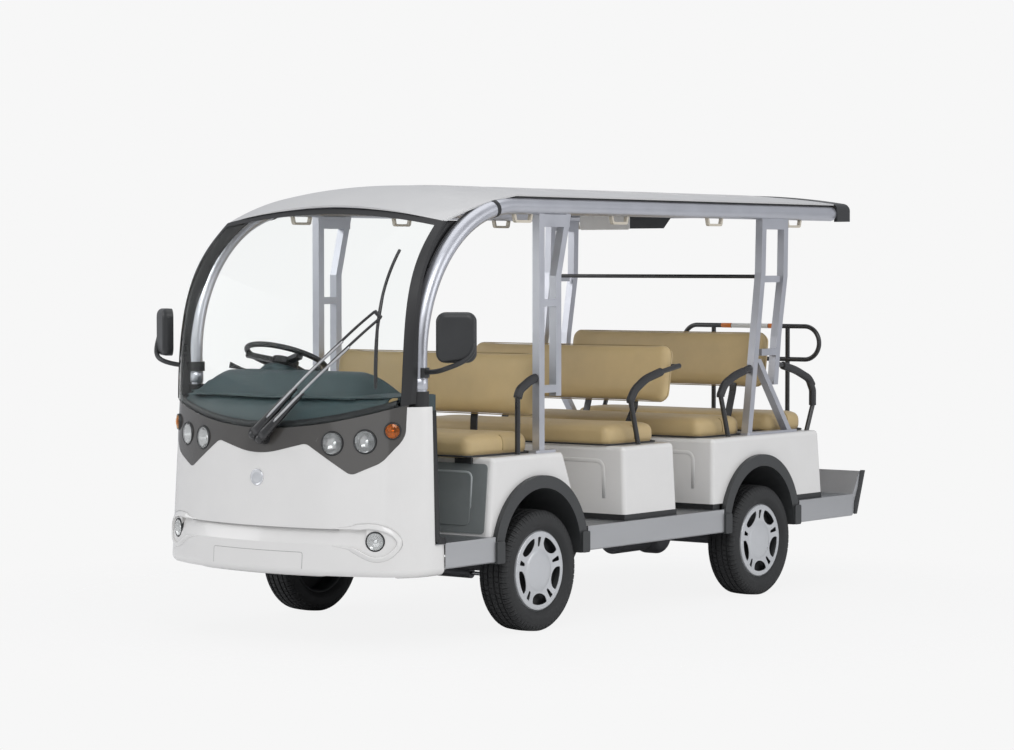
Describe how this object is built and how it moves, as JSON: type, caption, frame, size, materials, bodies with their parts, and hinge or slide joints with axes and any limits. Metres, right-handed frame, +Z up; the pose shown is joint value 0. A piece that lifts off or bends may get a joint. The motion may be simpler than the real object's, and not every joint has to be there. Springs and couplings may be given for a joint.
{
  "type": "electric shuttle bus",
  "caption": "Open-sided electric shuttle bus with a bowed windshield, full-width benches, arched roof, rear-facing seat and rear step, with steered front wheels.",
  "frame": {"origin": "on the ground, under the middle of the vehicle's length and width", "axes": "-Y towards the front of the vehicle, +X towards its left side, +Z up"},
  "size_m": [1.9054, 4.0822, 2.0538],
  "materials": {
    "tyre_black": "matte",
    "wheel_silver": "satin",
    "chassis_black": "satin",
    "cast_grey": "matte",
    "bare_steel": "satin",
    "deck_plate": "tread plate",
    "silver_extrusion": "satin",
    "dark_trim": "matte",
    "body_white": "gloss",
    "mask_dark": "gloss",
    "lamp_clear": "clear lens",
    "lamp_amber": "clear lens",
    "windshield_glass": "clear",
    "rubber_black": "matte",
    "roof_white": "gloss",
    "handle_beige": "satin",
    "panel_grey": "satin",
    "seat_vinyl": "satin",
    "rail_black": "satin",
    "dash_teal": "matte"
  },
  "bodies": {
    "chassis": {"a_pillars": "silver_extrusion", "arm_rails": "rail_black", "back_brackets": "rail_black", "battery_block": "dark_trim", "box_skirts": "dark_trim", "ceiling_console": "dark_trim", "cross_members": "chassis_black", "cushions": "seat_vinyl", "dashboard": "dash_teal", "drive_motor": "cast_grey", "floor_deck": "deck_plate", "frame_rails": "chassis_black", "front_axle": "chassis_black", "front_box_panel": "panel_grey", "front_roof_cap": "roof_white", "front_wheel_arches": "dark_trim", "grab_handles": "handle_beige", "headlamps": "lamp_clear", "lamp_mask": "mask_dark", "leaf_springs": "chassis_black", "mirrors": "dark_trim", "nose_shell": "body_white", "pedals": "rail_black", "rack_housing": "cast_grey", "rear_axle": "cast_grey", "rear_rail": "rail_black", "rear_roof_cap": "dark_trim", "rear_step": "deck_plate", "rear_wheel_arches": "dark_trim", "roof_frame": "silver_extrusion", "roof_panel": "roof_white", "rubber_trim": "rubber_black", "seat_backs": "seat_vinyl", "seat_boxes": "body_white", "side_posts": "silver_extrusion", "side_sills": "silver_extrusion", "steering_column": "dark_trim", "tow_plate": "chassis_black", "turn_lamps": "lamp_amber", "windshield": "windshield_glass", "wiper": "dark_trim"},
    "knuckle_left": {"knuckle_left": "chassis_black"},
    "knuckle_right": {"knuckle_right": "chassis_black"},
    "wheel_assembly_front_left": {"tyre_front_left": "tyre_black", "wheel_front_left": "wheel_silver"},
    "wheel_assembly_front_right": {"tyre_front_right": "tyre_black", "wheel_front_right": "wheel_silver"},
    "wheel_assembly_rear_left": {"tyre_rear_left": "tyre_black", "wheel_rear_left": "wheel_silver"},
    "wheel_assembly_rear_right": {"tyre_rear_right": "tyre_black", "wheel_rear_right": "wheel_silver"},
    "hand_wheel": {"steering_wheel": "dark_trim"},
    "rack_bar": {"steering_rack": "bare_steel"}
  },
  "joints": [
    {"name": "steer_left", "type": "hinge", "parent": "chassis", "child": "knuckle_left", "pos_m": [0.625, -0.89, 0.28], "axis": [0, 0, 1], "range_deg": [-25, 25]},
    {"name": "steer_right", "type": "hinge", "parent": "chassis", "child": "knuckle_right", "pos_m": [-0.625, -0.89, 0.28], "axis": [0, 0, 1], "range_deg": [-25, 25]},
    {"name": "hand_wheel_turn", "type": "hinge", "parent": "chassis", "child": "hand_wheel", "pos_m": [-0.33, -1.438, 1.246], "axis": [0, 0.3746, 0.9272], "range_deg": [-360, 360]},
    {"name": "rack_slide", "type": "slide", "parent": "chassis", "child": "rack_bar", "axis": [1, 0, 0], "range_m": [-0.057, 0.057]},
    {"name": "spin_front_left", "type": "hinge", "parent": "knuckle_left", "child": "wheel_assembly_front_left", "pos_m": [0.6575, -0.89, 0.28], "axis": [1, 0, 0], "continuous": true},
    {"name": "spin_front_right", "type": "hinge", "parent": "knuckle_right", "child": "wheel_assembly_front_right", "pos_m": [-0.6575, -0.89, 0.28], "axis": [1, 0, 0], "continuous": true},
    {"name": "spin_rear_left", "type": "hinge", "parent": "chassis", "child": "wheel_assembly_rear_left", "pos_m": [0.6575, 0.99, 0.28], "axis": [1, 0, 0], "continuous": true},
    {"name": "spin_rear_right", "type": "hinge", "parent": "chassis", "child": "wheel_assembly_rear_right", "pos_m": [-0.6575, 0.99, 0.28], "axis": [1, 0, 0], "continuous": true}
  ],
  "couplings": [
    {"joint": "steer_right", "follows": "steer_left", "ratio": 1},
    {"joint": "hand_wheel_turn", "follows": "steer_left", "ratio": 14.4},
    {"joint": "rack_slide", "follows": "steer_left", "m_per_rad": -0.13}
  ]
}
